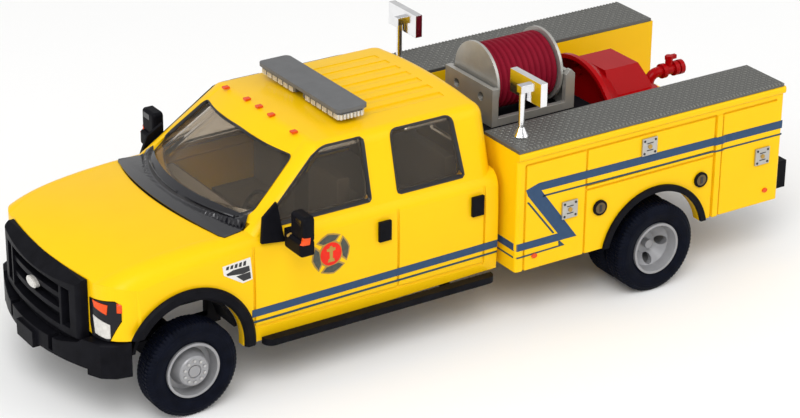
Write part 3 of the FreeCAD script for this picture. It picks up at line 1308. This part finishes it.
def reel_frame():
    """Cradle of the hose reel: a drilled front plate with gussets, rails, and two rear posts
    with a bearing plate between them."""
    half, base = s.reel_frame_half, s.tank_top + s.fit_gap
    front, rear = along(s.reel_plate_front), along(s.reel_post_rear)
    plate = block((front - s.reel_plate, front), (-half, half), (base, s.reel_plate_top))
    holes = [rod("x", s.plate_hole_radius, (front - s.reel_plate - 1, y, s.plate_hole_height),
                 s.reel_plate + 2) for y in (s.plate_hole_offset, -s.plate_hole_offset)]
    sides = []
    for side in (1, -1):
        ys = both(half - s.rail_width, half, side)
        sides += [block((rear, front), ys, (base, base + s.rail_rise)),
                  block((front - s.gusset_length, front), ys, (base, s.reel_plate_top))]
        post = block((rear, rear + s.reel_post), ys, (base, s.reel_post_top))
        top = s.reel_post_top.value - 0.01
        sides.append(rounded(post, s.post_chamfer, lambda e: runs_along("y")(e)
                             and e.BoundBox.ZMin > top, "Part::Chamfer"))
    cross = block((rear, rear + s.reel_plate), (-half, half), (base, s.reel_height))
    bearing = rod("x", s.bearing_half, (rear, 0, s.reel_height), s.reel_plate)
    return node("reel_frame", fuse(cut(plate, *holes), *sides, cross, bearing))


def reel():
    """Two flanges on a drum, turned in one piece, with the hose wound between them."""
    front, rear, t = along(s.reel_front), along(s.reel_rear), s.flange_thickness
    radius, drum, gap = s.reel_radius, s.drum_radius, s.fit_gap
    outline = [(rear, 0), (front, 0), (front, radius), (front - t, radius),
               (front - t, drum), (rear + t, drum), (rear + t, radius), (rear, radius)]
    body = revolved("reel_spool", "H_Axis", outline)
    node("reel_spool", place(body, (0, 0, s.reel_height)))
    count, crest = int(s.hose_rings.value), s.hose_radius
    low, high = rear + t + gap, front - t - gap
    pitch = (high - low) / count
    valley, flat = crest - pitch * 0.35, pitch * 0.3
    points = [(low, drum + gap), (high, drum + gap)]
    for i in range(count):
        end = high - pitch * i
        points += [(end, valley), (end - flat, crest), (end - pitch + flat, crest)]
    hose = revolved("hose_winding", "H_Axis", points + [(low, valley)])
    node("hose_winding", place(hose, (0, 0, s.reel_height)))


def pump():
    """Pump set: a half-round guard open to the front, and a tapered housing on a plinth."""
    front, rear, half = along(s.pump_front), along(s.pump_rear), s.pump_half
    base, top, plinth = s.tank_low_top + s.fit_gap, s.pump_top, s.pump_plinth_top
    centre, ring, wall = s.arch_ring_height, s.arch_ring_radius, s.arch_ring_wall
    face = front - s.arch_ring_width
    body = new_body("pump_body")
    padded(body, "YZ_Plane", rectangle(-half, half, base, plinth), rear - s.pump_plinth_gap,
           face + wall / 2 - rear + s.pump_plinth_gap)
    low, high = s.pump_foot_half, s.pump_top_half
    padded(body, "YZ_Plane",
           [(-low, plinth - wall), (low, plinth - wall), (low, plinth), (high, top),
            (-high, top), (-low, plinth)], rear, face + wall / 2 - rear)
    pocketed(body, "XZ_Plane",
             [(along(s.pump_slope_front), top), (along(s.pump_slope_front), top + 1),
              (rear - 1, top + 1), (rear - 1, s.pump_slope_low - 1), (rear, s.pump_slope_low)],
             -half - 1, half * 2 + 2)
    padded(body, "YZ_Plane", [], face, wall,
           [(s.pump_cap_offset, s.pump_cap_height, s.pump_cap_radius)])
    small, rim = s.arch_back_radius, s.arch_rim
    taper = s.arch_ring_width - rim
    guard = cut(fuse(cone("x", (small, ring), (face, 0, centre), taper),
                     rod("x", ring, (front - rim, 0, centre), rim)),
                cone("x", (small - wall, ring - wall), (face + wall / 3, 0, centre),
                     taper - wall / 3),
                rod("x", ring - wall, (front - rim, 0, centre), rim + 1),
                block((face - 1, front + 1), (-ring - 1, ring + 1), (centre - ring - 1, base)))
    return node("pump_unit", fuse(body, guard))


def manifold():
    """Discharge pipe behind the pump: flange, bend, collars, valve and hose end."""
    x, z, r, bend = along(s.manifold_x), s.manifold_height, s.manifold_radius, s.manifold_bend
    base, end = s.tank_low_top + s.fit_gap, along(s.manifold_end)
    turn = Vector(number(x - bend), 0, number(z - bend))
    corner = turn + Vector(math.sqrt(0.5), 0, math.sqrt(0.5)) * bend.value
    start = Vector(number(x), 0, number(base))
    path = Part.Wire([line(start, Vector(number(x), 0, turn.z)),
                      arc(Vector(number(x), 0, turn.z), corner, Vector(turn.x, 0, number(z))),
                      line(Vector(turn.x, 0, number(z)), Vector(number(end), 0, number(z)))])
    ring = Part.Wire([Part.makeCircle(r.value, start, Vector(0, 0, 1))])
    pipe = shaped(path.makePipeShell([ring], True, False))
    foot = rod("z", s.flange_radius, (x, 0, base), s.flange_height)
    collars = [rod("x", s.collar_radius, (spot, 0, z), s.collar_length)
               for spot in (turn_end(x, bend), along(s.valve_x) - s.collar_length * 2, end)]
    valve = rod("z", s.valve_radius, (along(s.valve_x), 0, z), s.valve_top - z)
    bar = s.handle_bar
    lever = block((along(s.valve_x) - bar * 2, along(s.valve_x) + bar), (-bar / 2, bar / 2),
                  (s.valve_top - bar, s.valve_top))
    return node("pump_manifold", fuse(pipe, foot, *collars, valve, lever))


def turn_end(x, bend):
    """Place of the collar just past the pipe's bend."""
    return x - bend - s.collar_length * 2


def scene_light(side):
    """Lamp head on a post with a flared foot, standing on a cabinet top."""
    x, y = along(s.light_x), s.light_offset * side
    base = s.body_top + s.top_plate + s.fit_gap
    foot = cone("z", (s.post_foot_radius, s.post_radius), (x + s.post_set_back, y, base),
                s.post_foot_height)
    post = rod("z", s.post_radius, (x + s.post_set_back, y, base),
               (s.light_bottom + s.light_top) / 2 - base)
    half, middle = s.knuckle / 2, (s.light_bottom + s.light_top) / 2
    knuckle = block((x - s.post_radius, x + s.post_set_back + half), (y - half, y + half),
                    (middle - half, middle + half))
    head = block((x - s.light_depth, x), (y - s.light_half, y + s.light_half),
                 (s.light_bottom, s.light_top))
    return node("scene_light_" + hand(side), fuse(foot, post, knuckle, head))


def main():
    wheelset("front", front_axle, s.front_tyre_face, False)
    wheelset("rear", rear_axle, s.rear_tyre_face, True)
    front_half = s.front_tyre_face - s.tyre_width - s.axle_end_gap
    rear_half = s.rear_tyre_face - s.dual_spacing - s.tyre_width - s.axle_end_gap
    axle_housing("front_axle_housing", front_axle, front_half, s.engine_half)
    axle_housing("rear_axle_housing", rear_axle, rear_half, 0)
    chassis_frame()
    driveline()
    exhaust()
    fuel_tank()
    cab_pieces()
    interior()
    steering_wheel()
    grille()
    front_bumper()
    headlamps()
    for side in (1, -1):
        flare(side)
        running_board(side)
        mirror(side)
        cabinet_top(side)
        latches(side)
        scene_light(side)
    handles()
    light_bar()
    roof_markers()
    service_body()
    arch_trims()
    wheelhouses("front_wheelhouses", front_axle, s.arch_height, s.arch_radius,
                s.front_well_inner, s.cab_half - s.wall, -s.arch_radius)
    wheelhouses("rear_wheelhouses", rear_axle, s.body_arch_height, s.body_arch_radius,
                s.well_inner, s.body_half - s.wall, s.rear_well_end)
    fuel_fillers()
    tail_lamps()
    rear_bumper()
    water_tank()
    reel_frame()
    reel()
    pump()
    manifold()
    finish()


def finish():
    """Check every object, then write one STEP file for each sub-part."""
    doc.recompute()
    for thing in doc.Objects:
        bad = {"Invalid", "Error"} & set(thing.State)
        if bad:
            raise RuntimeError("%s is %s" % (thing.Label, bad))
    for name, thing in NODES:
        if thing.Shape.isNull() or not thing.Shape.isValid():
            raise RuntimeError(name + " has no valid shape")
    os.makedirs("parts", exist_ok=True)
    for name, thing in NODES:
        thing.Shape.exportStep("parts/%s.step" % name)


main()
